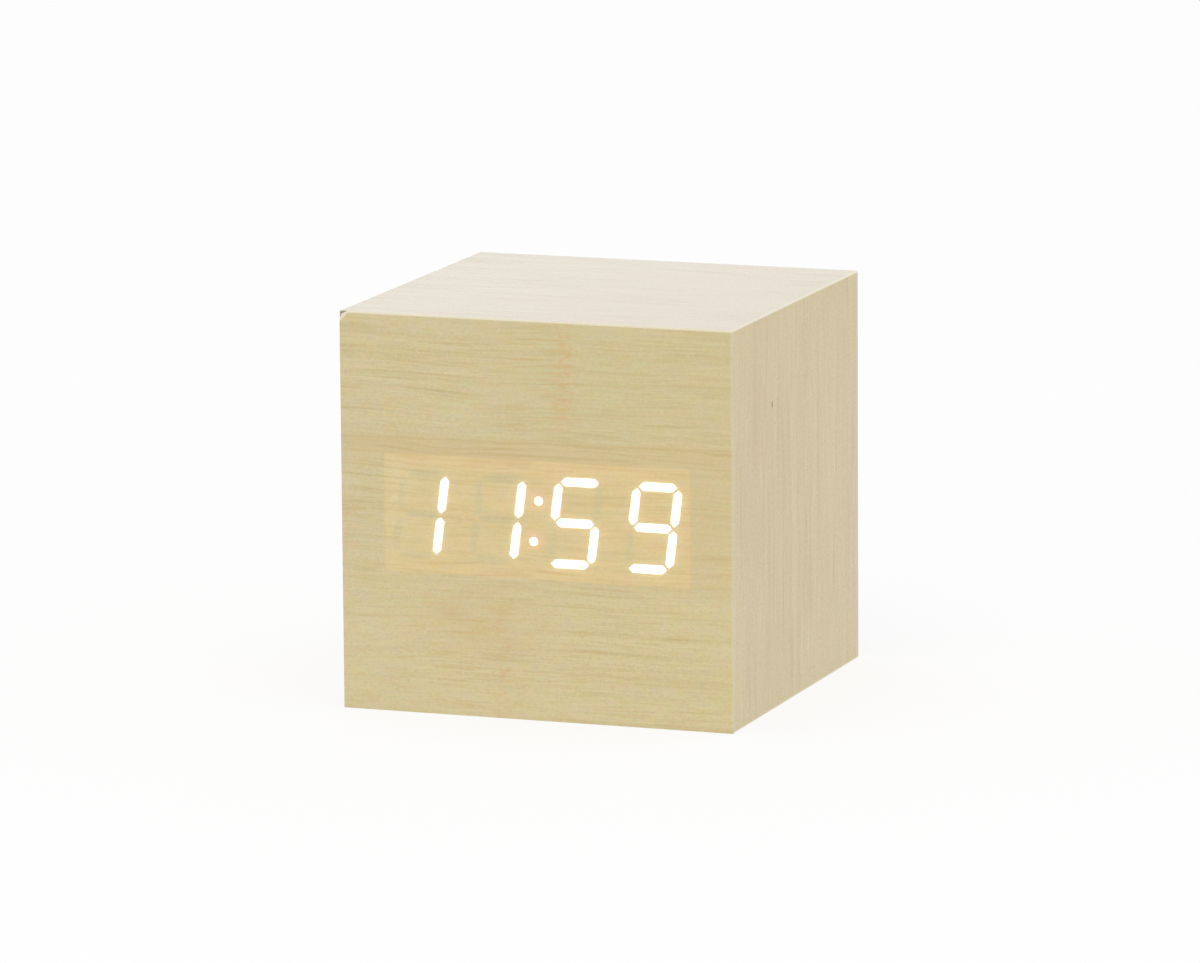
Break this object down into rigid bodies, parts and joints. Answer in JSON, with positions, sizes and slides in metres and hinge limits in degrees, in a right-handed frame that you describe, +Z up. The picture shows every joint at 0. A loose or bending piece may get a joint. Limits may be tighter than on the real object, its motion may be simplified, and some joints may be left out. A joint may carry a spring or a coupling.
{
  "type": "wooden cube alarm clock",
  "caption": "Cube-shaped desk alarm clock: wood-film-faced box whose lit digits shine through the front, with setting buttons, power inlet and a hinged battery door at the rear.",
  "frame": {"origin": "middle of the base, on the surface that the clock stands on", "axes": "+X to the right of the front, +Y from the front to the rear, +Z up"},
  "size_m": [0.064, 0.061, 0.0625],
  "materials": {
    "front_film": "satin wood-grain film, thin enough for light to shine through",
    "side_film": "satin wood-grain film",
    "fibreboard": "raw sawn fibreboard",
    "display_white": "moulded, matt",
    "lit_fill": "cast clear fill, lit white from behind",
    "dark_fill": "cast clear fill, unlit",
    "display_resin": "cast resin over a thin board",
    "chip_yellow": "light-emitting chip",
    "tinned_pins": "tinned",
    "circuit_board": "green solder mask",
    "white_nylon": "moulded nylon",
    "screw_steel": "zinc-plated",
    "black_package": "moulded package",
    "bright_can": "bright plated can",
    "aluminium_can": "bare can",
    "ribbon_grey": "grey insulated flat cable",
    "cover_black": "fine moulded texture",
    "screw_black": "black oxide",
    "cell_sleeve": "plain printed sleeve, bare metal ends",
    "nickel": "nickel-plated spring steel",
    "red_wire": "insulated wire",
    "black_wire": "insulated wire",
    "button_black": "moulded"
  },
  "bodies": {
    "case": {"front_film": "front_film", "side_films": "side_film", "front_panel": "fibreboard", "top_board": "fibreboard", "bottom_board": "fibreboard", "left_board": "fibreboard", "right_board": "fibreboard", "corner_posts": "fibreboard", "display_housing": "display_white", "lit_segments": "lit_fill", "colon_dots": "lit_fill", "unlit_segments": "dark_fill", "display_base": "display_resin", "led_chips": "chip_yellow", "display_pins": "tinned_pins", "main_board": "circuit_board", "key_board": "circuit_board", "board_spacers": "white_nylon", "ribbon_sockets": "white_nylon", "board_screws": "screw_steel", "key_screws": "screw_steel", "microcontroller": "black_package", "driver_transistors": "black_package", "segment_resistors": "black_package", "buzzer": "black_package", "switch_bodies": "black_package", "inlet_tongue": "black_package", "crystal": "bright_can", "inlet_shell": "bright_can", "capacitor": "aluminium_can", "ribbon_cable": "ribbon_grey", "rear_cover": "cover_black", "rear_screws": "screw_black", "battery_cells": "cell_sleeve", "contact_plates": "nickel", "contact_springs": "nickel", "red_lead": "red_wire", "black_lead": "black_wire"},
    "door": {"battery_door": "cover_black"},
    "set_key": {"set_button": "button_black", "set_plunger": "white_nylon"},
    "up_key": {"up_button": "button_black", "up_plunger": "white_nylon"},
    "down_key": {"down_button": "button_black", "down_plunger": "white_nylon"}
  },
  "joints": [
    {"name": "battery_door_hinge", "type": "hinge", "parent": "case", "child": "door", "pos_m": [0, 0.02815, 0.0443], "axis": [1, 0, 0], "range_deg": [0, 85]},
    {"name": "set_press", "type": "slide", "parent": "case", "child": "set_key", "axis": [0, -1, 0], "range_m": [0, 0.0004], "stiffness_N_per_m": 2500},
    {"name": "up_press", "type": "slide", "parent": "case", "child": "up_key", "axis": [0, -1, 0], "range_m": [0, 0.0004], "stiffness_N_per_m": 2500},
    {"name": "down_press", "type": "slide", "parent": "case", "child": "down_key", "axis": [0, -1, 0], "range_m": [0, 0.0004], "stiffness_N_per_m": 2500}
  ]
}
